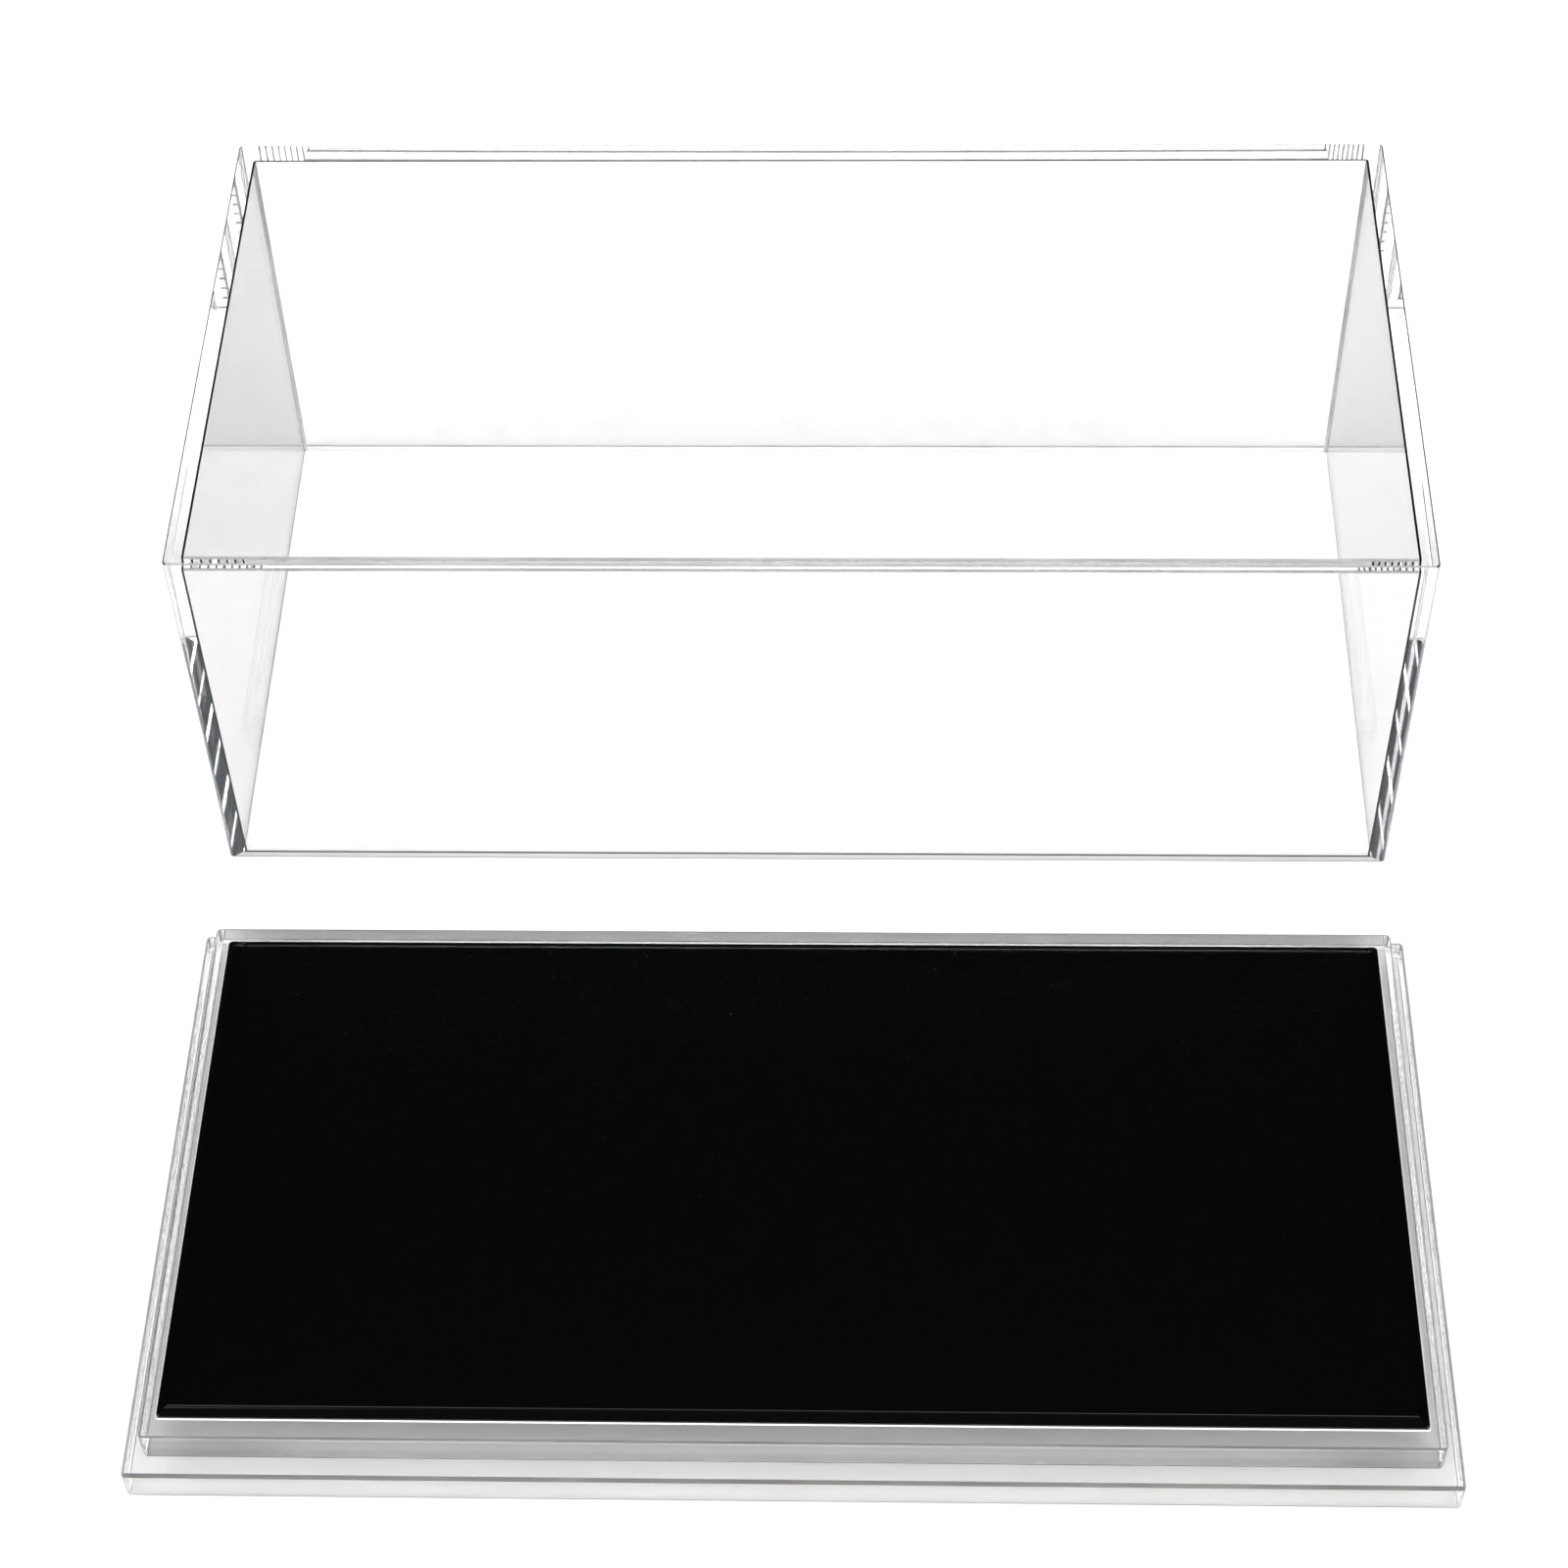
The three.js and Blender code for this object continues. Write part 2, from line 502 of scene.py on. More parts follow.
@contextmanager
def edit_mode() -> Iterator[None]:
    """Keeps the active object in edit mode for the length of a with block."""
    bpy.ops.object.mode_set(mode="EDIT")
    yield
    bpy.ops.object.mode_set(mode="OBJECT")


def name_primitive(name: str) -> bpy.types.Object:
    """Names the primitive that was just added.

    Args:
        name: the piece's name.

    Returns:
        The new object.
    """
    piece = bpy.context.active_object
    piece.name = name
    piece.data.name = name
    return piece


def add_block(name: str, low: Vector, high: Vector) -> bpy.types.Object:
    """Adds a block primitive between two corners, with its place in its mesh.

    Args:
        name: the piece's name.
        low: the lowest corner, in metres.
        high: the highest corner, in metres.

    Returns:
        The new object, alone in the selection.
    """
    bpy.ops.object.select_all(action="DESELECT")
    bpy.ops.mesh.primitive_cube_add(size=1, location=(low + high) / 2, scale=high - low)
    bpy.ops.object.transform_apply(location=True, rotation=True, scale=True)
    return name_primitive(name)


def start_picking(piece: bpy.types.Object, kind: Pick) -> None:
    """Makes a piece active with nothing in its mesh selected.

    Args:
        piece: the object, in object mode.
        kind: what will be selected.
    """
    bpy.context.view_layer.objects.active = piece
    bpy.context.tool_settings.mesh_select_mode = kind.value
    for items in (piece.data.polygons, piece.data.edges, piece.data.vertices):
        items.foreach_set("select", [False] * len(items))


def pick_edges(piece: bpy.types.Object, wanted: Callable[[Vector, Vector], bool]) -> None:
    """Selects the edges that a rule wants, and no others.

    Args:
        piece: the object, in object mode.
        wanted: the rule, given an edge's two ends.
    """
    start_picking(piece, Pick.EDGES)
    for edge in piece.data.edges:
        edge.select = wanted(*(piece.data.vertices[i].co for i in edge.vertices))


def pick_faces(
    piece: bpy.types.Object, wanted: Callable[[bpy.types.MeshPolygon], bool],
) -> None:
    """Selects the faces that a rule wants, and no others.

    Args:
        piece: the object, in object mode.
        wanted: the rule, given a face.
    """
    start_picking(piece, Pick.FACES)
    for face in piece.data.polygons:
        face.select = wanted(face)


def bevel_edges(
    piece: bpy.types.Object,
    wanted: Callable[[Vector, Vector], bool],
    width: float,
    faces: int,
) -> None:
    """Rounds or breaks the edges that a rule wants.

    Args:
        piece: the object, in object mode.
        wanted: the rule, given an edge's two ends.
        width: how far the bevel reaches along each face, in metres.
        faces: how many faces the bevel has across.
    """
    pick_edges(piece, wanted)
    with edit_mode():
        bpy.ops.mesh.bevel(
            offset=width, segments=faces, affect="EDGES", profile=0.5, clamp_overlap=False,
        )


def open_below(piece: bpy.types.Object, height: float) -> None:
    """Takes away the flat face that looks down at this height.

    Args:
        piece: the object, in object mode.
        height: the height of the face, in metres.
    """
    pick_faces(
        piece, lambda face: face.normal.z < -FLAT and abs(face.center.z - height) < TOUCH,
    )
    with edit_mode():
        bpy.ops.mesh.delete(type="ONLY_FACE")


def runs_along(a: Vector, b: Vector, axis: Axis) -> bool:
    """True if the edge from a to b runs along this axis."""
    step = b - a
    return step.length > 0 and abs(step.normalized().dot(axis.value)) > PARALLEL


def finish_shading(piece: bpy.types.Object) -> None:
    """Shades the rounds smoothly, with a break where the angle between two faces is wide.

    Args:
        piece: the object, in object mode.
    """
    bpy.ops.object.select_all(action="DESELECT")
    piece.select_set(True)
    bpy.context.view_layer.objects.active = piece
    bpy.ops.object.shade_smooth_by_angle(angle=SMOOTH_ANGLE)


def finish_straight_shading(piece: bpy.types.Object, widest: float) -> None:
    """Shades rounds smoothly across their length only.

    Wide faces stay optically flat, and mitres stay crisp.

    Args:
        piece: an object whose rounds all run along the axes.
        widest: the width of the widest single face of a round, in metres.
    """
    finish_shading(piece)
    mesh = piece.data
    for face in mesh.polygons:
        corners = [mesh.vertices[i].co for i in face.vertices]
        longest = max((corners[i] - corners[i - 1]).length for i in range(len(corners)))
        if face.area / longest > widest:
            face.use_smooth = False
    for edge in mesh.edges:
        ends = [mesh.vertices[i].co for i in edge.vertices]
        if not any(runs_along(*ends, axis) for axis in Axis):
            edge.use_edge_sharp = True


@dataclass
class ClearCover:
    """The five-sided cover, open below.

    Its sheets are bonded so cleanly that they read as one clear shell.
    """

    sheet: float = 4 * MM
    corner_radius: float = 1.2 * MM
    corner_faces: int = 6
    arris: float = 0.4 * MM
    arris_faces: int = 2
    cement_fillet: float = 0.7 * MM
    fillet_faces: int = 4

    panels: tuple[str, ...] = (
        "cover_top_panel",
        "cover_front_panel",
        "cover_back_panel",
        "cover_left_panel",
        "cover_right_panel",
    )

    def reach(self) -> tuple[Vector, Vector]:
        """Measures the whole cover.

        Returns:
            Its lowest and its highest corner.
        """
        lows, highs = zip(*(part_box(panel) for panel in self.panels))
        low = Vector([min(corner[i] for corner in lows) for i in range(3)])
        return low, Vector([max(corner[i] for corner in highs) for i in range(3)])

    def build(self) -> bpy.types.Object:
        """Models the cover: a rounded block, a pocket with cement fillets, and the rim between.

        Returns:
            The shell's object.
        """
        low, high = self.reach()
        shell = add_block("clear_cover", low, high)
        bevel_edges(
            shell, lambda a, b: runs_along(a, b, Axis.Z), self.corner_radius, self.corner_faces,
        )
        bevel_edges(shell, lambda a, b: abs(a.z - b.z) < TOUCH, self.arris, self.arris_faces)
        open_below(shell, low.z)
        pocket = self.build_pocket(low, high)
        bpy.ops.object.select_all(action="DESELECT")
        pocket.select_set(True)
        shell.select_set(True)
        bpy.context.view_layer.objects.active = shell
        bpy.ops.object.join()
        pick_edges(shell, lambda a, b: max(a.z, b.z) - low.z < TOUCH)
        with edit_mode():
            bpy.ops.mesh.fill(use_beauty=True)
            bpy.ops.mesh.select_all(action="SELECT")
            bpy.ops.mesh.normals_make_consistent(inside=False)
        finish_straight_shading(shell, ROUND_FACE)
        return shell

    def build_pocket(self, low: Vector, high: Vector) -> bpy.types.Object:
        """Models the inside, whose mouth flares by the arris of the rim's inner edge.

        Args:
            low: the cover's lowest corner.
            high: the cover's highest corner.

        Returns:
            The pocket's object, open below.
        """
        walls = Vector((self.sheet, self.sheet, 0))
        flare_top = low.z + self.arris
        pocket = add_block(
            "cover_pocket",
            Vector((low.x, low.y, flare_top)) + walls,
            Vector((high.x, high.y, high.z - self.sheet)) - walls,
        )
        inside = high - low - 2 * walls
        flare = (1 + 2 * self.arris / inside.x, 1 + 2 * self.arris / inside.y, 1)
        pick_faces(pocket, lambda face: face.normal.z < -FLAT)
        with edit_mode():
            bpy.ops.mesh.extrude_region_move(
                TRANSFORM_OT_translate={"value": (0, 0, -self.arris)},
            )
            bpy.ops.transform.resize(value=flare, center_override=(low + high) / 2)
        open_below(pocket, low.z)
        bevel_edges(
            pocket, lambda a, b: max(a.z, b.z) > flare_top + TOUCH,
            self.cement_fillet, self.fillet_faces,
        )
        return pocket

    def line_at(self, centre: Vector, normal: Vector) -> Line | None:
        """Says which fine line, in painted shade, a face of the shell belongs to.

        Args:
            centre: the face's centre.
            normal: the face's normal.

        Returns:
            The line, or None for a clear face.
        """
        low, high = self.reach()
        half = self.sheet / 2
        front = centre.y < (low.y + high.y) / 2
        if centre.z < low.z + TOUCH:
            on_end_wall = min(centre.x - low.x, high.x - centre.x) < self.sheet
            return None if on_end_wall else Line.SAWN_RIM
        if max(abs(part) for part in normal) > FLAT:
            return None
        if centre.z < low.z + self.arris:
            return self.rim_line(normal, front, outer=centre.y < low.y + half)
        if (
            centre.z < high.z - half
            and low.x + half < centre.x < high.x - half
            and low.y + half < centre.y < high.y - half
        ):
            return self.inside_line(normal, front)
        # Outer arrises: the middles of the upright corners and the top arrises of the front and
        # back get a pale painted shade, the top arrises of the sides a dark painted shade
        if abs(normal.z) < ALONG:
            on_corner = min(abs(normal.x), abs(normal.y)) > DIAGONAL
            return Line.FAINT_ARRIS if on_corner else None
        return Line.FAINT_ARRIS if abs(normal.x) < ALONG else Line.COOL_ARRIS

    def rim_line(self, normal: Vector, front: bool, outer: bool) -> Line | None:
        """Says which painted shade an arris of the rim shows as.

        Args:
            normal: the face's normal.
            front: True for the front half of the cover.
            outer: True for the outer one of the front wall's two arrises.

        Returns:
            The line, or None on the two end walls, whose arrises stay clear.
        """
        if abs(normal.y) < ALONG:
            return None
        # Behind, the rim's arrises get a pale painted shade; in front, the outer one gets a grey
        # painted shade and the inner one a dark painted shade
        if not front:
            return Line.PALE_SEAM
        return Line.GREY_SEAM if outer else Line.DARK_SEAM

    def inside_line(self, normal: Vector, front: bool) -> Line:
        """Says which painted shade a cement fillet inside the cover shows as.

        Args:
            normal: the face's normal.
            front: True for the front half of the cover.

        Returns:
            The line.
        """
        # Each fillet gets a painted shade by where it stands: pale along the top front and in the
        # back corners, dark elsewhere
        if abs(normal.x) < ALONG:
            return Line.FAINT_ARRIS if front else Line.DARK_SEAM
        if abs(normal.z) < ALONG:
            return Line.DARK_SEAM if front else Line.PALE_SEAM
        return Line.DARK_SEAM

    def dress(
        self,
        shell: bpy.types.Object,
        clear: bpy.types.Material,
        lines: dict[Line, bpy.types.Material],
    ) -> None:
        """Gives the shell its finishes and hangs it on the cover's body.

        Args:
            shell: the shell's object.
            clear: the finish of all but the fine lines.
            lines: the material of each fine line, whose colour is painted shade.
        """
        shell.data.materials.append(clear)
        order: list[Line | None] = [None]
        for face in shell.data.polygons:
            line = self.line_at(face.center, face.normal)
            if line not in order:
                order.append(line)
                shell.data.materials.append(lines[line])
            face.material_index = order.index(line)
        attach(shell, "cover")
        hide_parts(*self.panels)


class SlabPart(Enum):
    """The parts of a clear slab that differ in finish."""

    FACE = "top face and clear middle of the underside"
    BORDER = "frosted border of the underside"
    EDGE = "buffed edges, and the lower arris at the sides and the back"
    CORNER = "middle of the rounded corners"
    UPPER_ARRIS = "upper arris of the front and back edges"
    LOWER_ARRIS = "lower arris of the front edge"
    SIDE_ARRIS = "upper arris of the side edges"


@dataclass(frozen=True)
class ClearSlab:
    """A clear slab of the base with rounded corners and broken edges, in place of one node."""

    node: str
    arris: float
    border: CutAcrylic
    border_width: float = 17 * MM
    corner_radius: float = 1.2 * MM
    corner_faces: int = 6
    arris_faces: int = 2
    lower_arris: float = 0.9 * MM
    lower_arris_faces: int = 3

    def build(self) -> bpy.types.Object:
        """Models the slab: a block, the border on its underside, then its rounds and arrises.

        Returns:
            The slab's object.
        """
        low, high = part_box(self.node)
        slab = add_block(self.node + "_clear", low, high)
        pick_faces(slab, lambda face: face.normal.z < -FLAT)
        with edit_mode():
            bpy.ops.mesh.inset(thickness=self.border_width)
        bevel_edges(
            slab, lambda a, b: runs_along(a, b, Axis.Z), self.corner_radius, self.corner_faces,
        )

        def on_outline(a: Vector, b: Vector, height: float) -> bool:
            """True for an edge of the slab's rounded outline at this height."""
            return all(
                abs(point.z - height) < TOUCH
                and any(
                    min(point[i] - low[i], high[i] - point[i]) < self.corner_radius / 2
                    for i in (0, 1)
                )
                for point in (a, b)
            )

        bevel_edges(slab, lambda a, b: on_outline(a, b, high.z), self.arris, self.arris_faces)
        bevel_edges(
            slab, lambda a, b: on_outline(a, b, low.z), self.lower_arris, self.lower_arris_faces,
        )
        finish_straight_shading(slab, ROUND_FACE)
        return slab

    def part_at(self, centre: Vector, normal: Vector) -> SlabPart:
        """Says which part of the slab a face belongs to.

        Args:
            centre: the face's centre.
            normal: the face's normal.

        Returns:
            The part.
        """
        if abs(normal.z) > FLAT:
            low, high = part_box(self.node)
            off_middle = (centre - (low + high) / 2).xy.length
            frosted = normal.z < 0 and off_middle > self.border_width
            return SlabPart.BORDER if frosted else SlabPart.FACE
        if abs(normal.z) > ALONG:
            if abs(normal.x) > abs(normal.y):
                return SlabPart.SIDE_ARRIS if normal.z > 0 else SlabPart.EDGE
            if normal.z > 0:
                return SlabPart.UPPER_ARRIS
            return SlabPart.LOWER_ARRIS if normal.y < 0 else SlabPart.EDGE
        on_corner = min(abs(normal.x), abs(normal.y)) > DIAGONAL
        return SlabPart.CORNER if on_corner else SlabPart.EDGE

    def dress(
        self, slab: bpy.types.Object, finishes: dict[SlabPart, bpy.types.Material],
    ) -> None:
        """Gives each part of the slab its finish and hangs the slab on the base's body.

        Args:
            slab: the slab's object.
            finishes: the material of each part; the arrises and the middles of the corners get
                painted shade.
        """
        order = list(SlabPart)
        for part in order:
            slab.data.materials.append(finishes[part])
        for face in slab.data.polygons:
            face.material_index = order.index(self.part_at(face.center, face.normal))
        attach(slab, "base")
        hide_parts(self.node)


@dataclass
class DisplayDeck:
    """The black sheet that the model stands on, with a mitred bevel and a cement bead."""

    bevel_width: float = 2.2 * MM
    bevel_drop: float = 1.1 * MM
    crest_round: float = 0.45 * MM
    crest_faces: int = 5
    corner_round: float = 0.9 * MM
    corner_faces: int = 4
    bead_width: float = 0.35 * MM
    bead_height: float = 0.35 * MM
    bead_round: float = 0.245 * MM
    bead_faces: int = 3
    widest_bead_face: float = 0.1 * MM
    bead_gap: float = 0.02 * MM

    def build_sheet(self) -> bpy.types.Object:
        """Models the sheet: a block, its top drawn in by the bevel, then its edges rounded.

        Returns:
            The sheet's object.
        """
        low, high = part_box("display_deck")
        shoulder = high.z - self.bevel_drop
        sheet = add_block("display_deck_sheet", low, Vector((high.x, high.y, shoulder)))
        pick_faces(sheet, lambda face: face.normal.z > FLAT)
        with edit_mode():
            bpy.ops.mesh.inset(thickness=self.bevel_width, depth=self.bevel_drop)
        bevel_edges(
            sheet, lambda a, b: min(a.z, b.z) > high.z - TOUCH, self.crest_round, self.crest_faces,
        )
        bevel_edges(
            sheet, lambda a, b: runs_along(a, b, Axis.Z), self.corner_round, self.corner_faces,
        )
        finish_straight_shading(sheet, ROUND_FACE)
        return sheet

    def build_bead(self) -> bpy.types.Object:
        """Models the cement bead: a ring round the sheet's foot with a rounded outside.

        Returns:
            The bead's object.
        """
        low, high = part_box("display_deck")
        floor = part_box("plinth")[1].z + self.bead_gap
        top = floor + self.bead_height
        reach = Vector((self.bead_width, self.bead_width, 0))
        bead = add_block(
            "deck_cement_bead",
            Vector((low.x, low.y, floor)) - reach,
            Vector((high.x, high.y, top)) + reach,
        )
        pick_faces(bead, lambda face: abs(face.normal.z) > FLAT)
        with edit_mode():
            bpy.ops.mesh.inset(thickness=self.bead_width - self.bead_gap)
            bpy.ops.mesh.bridge_edge_loops()
        outside = high.x + self.bead_width - TOUCH

        def outer_top(a: Vector, b: Vector) -> bool:
            """True for the four edges round the outside of the top."""
            on_side = min(abs(a.x), abs(b.x)) > outside
            on_end = abs(a.y - b.y) < TOUCH and not low.y - TOUCH < a.y < high.y + TOUCH
            return min(a.z, b.z) > top - TOUCH and (on_side or on_end)

        bevel_edges(
            bead, lambda a, b: runs_along(a, b, Axis.Z) and abs(a.x) > outside,
            self.corner_round, self.corner_faces,
        )
        bevel_edges(bead, outer_top, self.bead_round, self.bead_faces)
        finish_straight_shading(bead, self.widest_bead_face)
        return bead

    def dress(
        self,
        piece: bpy.types.Object,
        flat: bpy.types.Material,
        edge: bpy.types.Material,
        slot: str,
    ) -> None:
        """Gives the sheet or the bead its finishes and hangs it on the base's body.

        Args:
            piece: the sheet or the bead.
            flat: the finish of its flat top.
            edge: the finish of all else.
            slot: the material slot of the record; not used.
        """
        for finish in (flat, edge):
            piece.data.materials.append(finish)
        for face in piece.data.polygons:
            face.material_index = 0 if face.normal.z > PARALLEL else 1
        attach(piece, "base")


@dataclass
class Bumpers:
    """The four clear bumpers under the base plate."""

    nodes: tuple[str, ...] = (
        "foot_front_left", "foot_front_right", "foot_back_left", "foot_back_right",
    )
    sides: int = 48
    contact_share: float = 0.76
    dome_round: float = 0.45 * MM
    dome_faces: int = 5
    seam_round: float = 0.15 * MM
    seam_faces: int = 2

    def build_first(self) -> bpy.types.Object:
        """Models one bumper: a short disc drawn in towards the table, its edges rounded.

        Returns:
            The first bumper's object.
        """
        low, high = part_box(self.nodes[0])
        middle = (low + high) / 2
        bpy.ops.object.select_all(action="DESELECT")
        bpy.ops.mesh.primitive_cylinder_add(
            vertices=self.sides, radius=(high.x - low.x) / 2, depth=high.z - low.z,
            location=middle,
        )
        bpy.ops.object.transform_apply(location=True, rotation=True, scale=True)
        bumper = name_primitive(self.nodes[0] + "_bumper")
        pick_faces(bumper, lambda face: face.normal.z < -FLAT)
        with edit_mode():
            bpy.ops.transform.resize(
                value=(self.contact_share, self.contact_share, 1), center_override=middle,
            )
        bevel_edges(
            bumper, lambda a, b: max(a.z, b.z) < low.z + TOUCH, self.dome_round, self.dome_faces,
        )
        bevel_edges(
            bumper, lambda a, b: min(a.z, b.z) > high.z - TOUCH, self.seam_round, self.seam_faces,
        )
        finish_shading(bumper)
        return bumper

    def build_rest(self, first: bpy.types.Object) -> list[bpy.types.Object]:
        """Copies the first bumper to the other corners, each with its own mesh.

        Args:
            first: the first bumper.

        Returns:
            All four bumpers, in the order of the nodes.
        """
        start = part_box(self.nodes[0])[0]
        bumpers = [first]
        for node in self.nodes[1:]:
            copy = first.copy()
            copy.data = first.data.copy()
            copy.name = copy.data.name = node + "_bumper"
            copy.data.transform(Matrix.Translation(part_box(node)[0] - start))
            bpy.context.scene.collection.objects.link(copy)
            bumpers.append(copy)
        return bumpers

    def dress(self, bumpers: list[bpy.types.Object], finish: bpy.types.Material) -> None:
        """Gives each bumper its finish and hangs it on the base's body.

        Args:
            bumpers: the four bumpers, in the order of the nodes.
            finish: the finish of all of them.
        """
        for node, bumper in zip(self.nodes, bumpers):
            bumper.data.materials.append(finish)
            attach(bumper, "base")
            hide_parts(node)


@dataclass
class Studio:
    """The white table, the soft light and the camera."""

    # Camera: focal length and sensor in millimetres, nearest view and place in metres, and turns
    # in degrees
    lens: float = 78.17
    sensor: float = 36.0
    nearest: float = 0.01
    place: tuple[float, float, float] = (0.02097, -0.56358, 0.74193)
    heading: float = 2.566
    pitch: float = 50.600
    roll: float = -1.758
    # Table: side and gap under the case, in metres
    floor_size: float = 1.0
    floor_gap: float = 0.05 * MM
    # Room: one even white, which fades to dark from the higher of the horizon's heights down
    room_light: float = 3.3
    dark: tuple[float, float, float] = (0.005, 0.007, 0.01)
    horizon: tuple[float, float] = (0.10, 0.20)
    # Back wall: how dark the room is behind the case, at heights from level (0) to overhead (1)
    back_wall: tuple[tuple[float, float], ...] = (
        (0.0, 0.0), (0.28, 0.0), (0.31, 1.0), (0.91, 1.0), (0.94, 0.0), (1.0, 0.0),
    )
    back_wall_blur: float = 0.05
    # Camera stand: the way to it, the cosine at its outline, its soft edge and its share of light
    stand: tuple[float, float, float] = (0.02, -0.46, 0.89)
    stand_edge: float = 0.95
    stand_blur: float = 0.003
    stand_light: float = 0.03
    # Boom overhead: the height at its outline, its soft edge and the light that it leaves
    boom_edge: float = 0.965
    boom_blur: float = 0.01
    boom_light: float = 0.2
    # Bounces: light is followed through this many faces of the clear sheets
    bounces: int = 64

    def add_camera(self) -> None:
        """Sets the camera where the photograph was taken."""
        data = bpy.data.cameras.new("photo_camera")
        data.lens = self.lens
        data.sensor_width = self.sensor
        data.clip_start = self.nearest
        camera = bpy.data.objects.new("photo_camera", data)
        bpy.context.scene.collection.objects.link(camera)
        turn = (
            Matrix.Rotation(math.radians(self.heading), 4, "Z")
            @ Matrix.Rotation(math.radians(90 - self.pitch), 4, "X")
            @ Matrix.Rotation(math.radians(self.roll), 4, "Z")
        )
        camera.matrix_world = Matrix.Translation(self.place) @ turn
        bpy.context.scene.camera = camera

    def add_floor(self) -> None:
        """Lays the white table."""
        bpy.ops.object.select_all(action="DESELECT")
        bpy.ops.mesh.primitive_plane_add(size=self.floor_size, location=(0, 0, -self.floor_gap))
        floor = name_primitive("white_table")
        floor.data.materials.append(TableLaminate().material())

    def add_world(self) -> None:
        """Fills the room with soft white, apart from the dark shapes that the deck mirrors."""
        world = bpy.data.worlds.new("studio")
        world.use_nodes = True
        tree = world.node_tree
        tree.nodes.clear()
        way = add_node(tree, "TexCoord")
        parts = add_node(tree, "SeparateXYZ", n0=way.outputs["Generated"])
        # Back wall: a dark band behind the case, at the height that the deck mirrors
        ramp = add_node(tree, "ValToRGB", n0=parts.outputs["Z"])
        # A new stop may start anywhere, because the next loop gives each stop its height
        while len(ramp.color_ramp.elements) < len(self.back_wall):
            ramp.color_ramp.elements.new(0.5)
        for element, (height, darkness) in zip(ramp.color_ramp.elements, self.back_wall):
            element.position = height
            element.color = (darkness, darkness, darkness, 1)
        behind = add_node(
            tree, "MapRange", Value=parts.outputs["Y"], From_Min=0.0, From_Max=self.back_wall_blur,
        )
        band = add_node(
            tree, "Math", {"operation": "MULTIPLY"},
            n0=ramp.outputs["Color"], n1=behind.outputs["Result"],
        )
        # Horizon: past the table the room is unlit, which draws the edges of the clear sheets
        low = add_node(
            tree, "MapRange", Value=parts.outputs["Z"],
            From_Min=self.horizon[0], From_Max=self.horizon[1], To_Min=1.0, To_Max=0.0,
        )
        share = add_node(
            tree, "Math", {"operation": "MAXIMUM"},
            n0=band.outputs["Value"], n1=low.outputs["Result"],
        )
        colour = add_node(
            tree, "Mix", {"data_type": "RGBA"}, n0=share.outputs["Value"],
            n6=(1, 1, 1, 1), n7=(*self.dark, 1),
        )
        # Camera stand: a dark shape in front of the case and above it
        towards = add_node(
            tree, "VectorMath", {"operation": "DOT_PRODUCT"}, n0=way.outputs["Generated"],
            n1=Vector(self.stand).normalized(),
        )
        shade = add_node(
            tree, "MapRange", Value=towards.outputs["Value"],
            From_Min=self.stand_edge, From_Max=self.stand_edge + self.stand_blur,
            To_Min=1.0, To_Max=self.stand_light,
        )
        # Boom: the place straight over the table is dark too, so the deck's bevel stays black
        boom = add_node(
            tree, "MapRange", Value=parts.outputs["Z"],
            From_Min=self.boom_edge, From_Max=self.boom_edge + self.boom_blur,
            To_Min=self.room_light, To_Max=self.boom_light,
        )
        strength = add_node(
            tree, "Math", {"operation": "MULTIPLY"},
            n0=shade.outputs["Result"], n1=boom.outputs["Result"],
        )
        background = add_node(
            tree, "Background", Color=colour.outputs[2], Strength=strength.outputs["Value"],
        )
        add_node(tree, "OutputWorld", Surface=background.outputs["Background"])
        bpy.context.scene.world = world

    def build(self) -> None:
        """Sets up the table, the light and the camera."""
        self.add_camera()
        self.add_floor()
        self.add_world()
        scene = bpy.context.scene
        scene.view_settings.view_transform = "Standard"
        scene.cycles.blur_glossy = 0.0
        scene.cycles.max_bounces = self.bounces
        scene.cycles.glossy_bounces = self.bounces
        scene.cycles.transmission_bounces = self.bounces


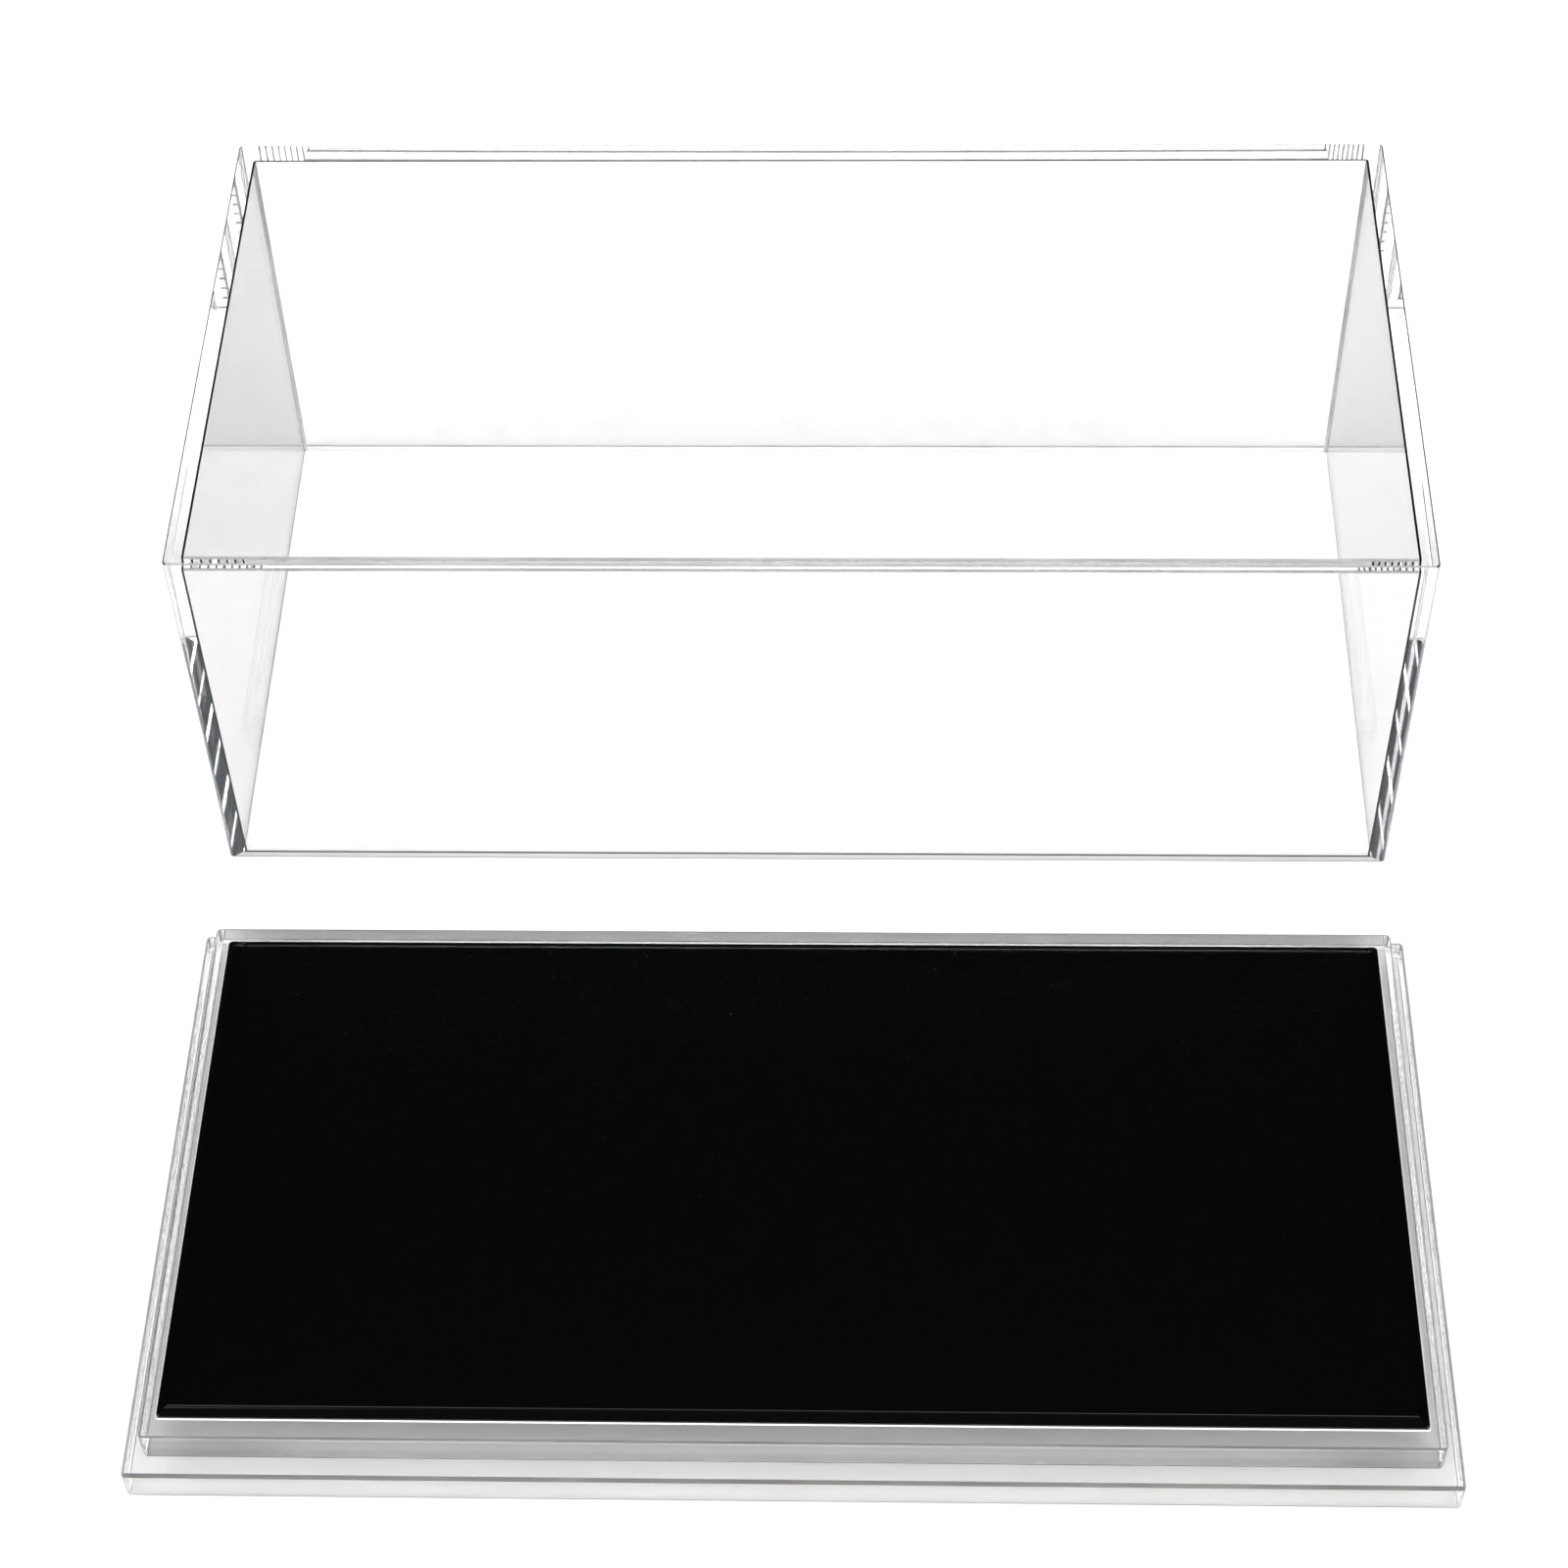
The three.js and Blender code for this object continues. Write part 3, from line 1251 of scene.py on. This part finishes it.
def main() -> None:
    """Builds and dresses every piece, and sets the studio round them."""
    Studio().build()
    lines = {line: line.value.material() for line in Line}

    cover = ClearCover()
    cover.dress(cover.build(), ClearAcrylic().material(), lines)
    log.info("clear cover built")

    wiped = ClearAcrylic("clear cast acrylic, wiped clean", film_tint="#e6e5e4").material()
    buffed = CutAcrylic(
        "buffed edge of clear acrylic", "#ffffff", "#fcfcfb",
        transmission=1.0, least_roughness=0.04, most_roughness=0.08,
    ).material()
    plate_border = CutAcrylic(
        "frosted border of the clear plate", "#ffffff", "#fcfcfb",
        transmission=0.4, least_roughness=0.28, most_roughness=0.34,
    )
    # The plinth's border tint is grey where the plate's is white: painted shade of the black deck
    # above it
    plinth_border_painted_shade = CutAcrylic(
        "frosted border of the clear plinth", "#d6d5d4", "#d2d1d0",
        transmission=0.78, least_roughness=0.28, most_roughness=0.34,
    )
    for slab in (
        ClearSlab("base_plate", arris=0.8 * MM, border=plate_border),
        ClearSlab("plinth", arris=0.4 * MM, border=plinth_border_painted_shade),
    ):
        finishes = {
            SlabPart.FACE: wiped,
            SlabPart.BORDER: slab.border.material(),
            SlabPart.EDGE: buffed,
            # The corners and arrises get lines in painted shade: pale at the sides and corners,
            # grey along the top of the front and back, dark along the lower front arris
            SlabPart.CORNER: lines[Line.PALE_ARRIS],
            SlabPart.UPPER_ARRIS: lines[Line.WARM_ARRIS],
            SlabPart.LOWER_ARRIS: lines[Line.DARK_SEAM],
            SlabPart.SIDE_ARRIS: lines[Line.PALE_ARRIS],
        }
        slab.dress(slab.build(), finishes)
        log.info("%s built", slab.node)

    deck = DisplayDeck()
    sheet = deck.build_sheet()
    satin = BlackAcrylic(
        "black cast acrylic, satin face", gloss=0.03, least_roughness=0.27, most_roughness=0.29,
    ).material()
    polished = BlackAcrylic(
        "black cast acrylic, polished bevel", gloss=0.25, least_roughness=0.04,
        most_roughness=0.06,
    ).material()
    deck.dress(sheet, satin, polished, "black_acrylic")
    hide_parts("display_deck")
    log.info("display deck built")
    cement = AcrylicCement().material()
    deck.dress(deck.build_bead(), cement, cement, "clear_acrylic")
    log.info("cement bead of the deck built")

    bumpers = Bumpers()
    bumpers.dress(bumpers.build_rest(bumpers.build_first()), ClearBumperRubber().material())
    log.info("four bumpers built")


if __name__ == "__main__":
    main()
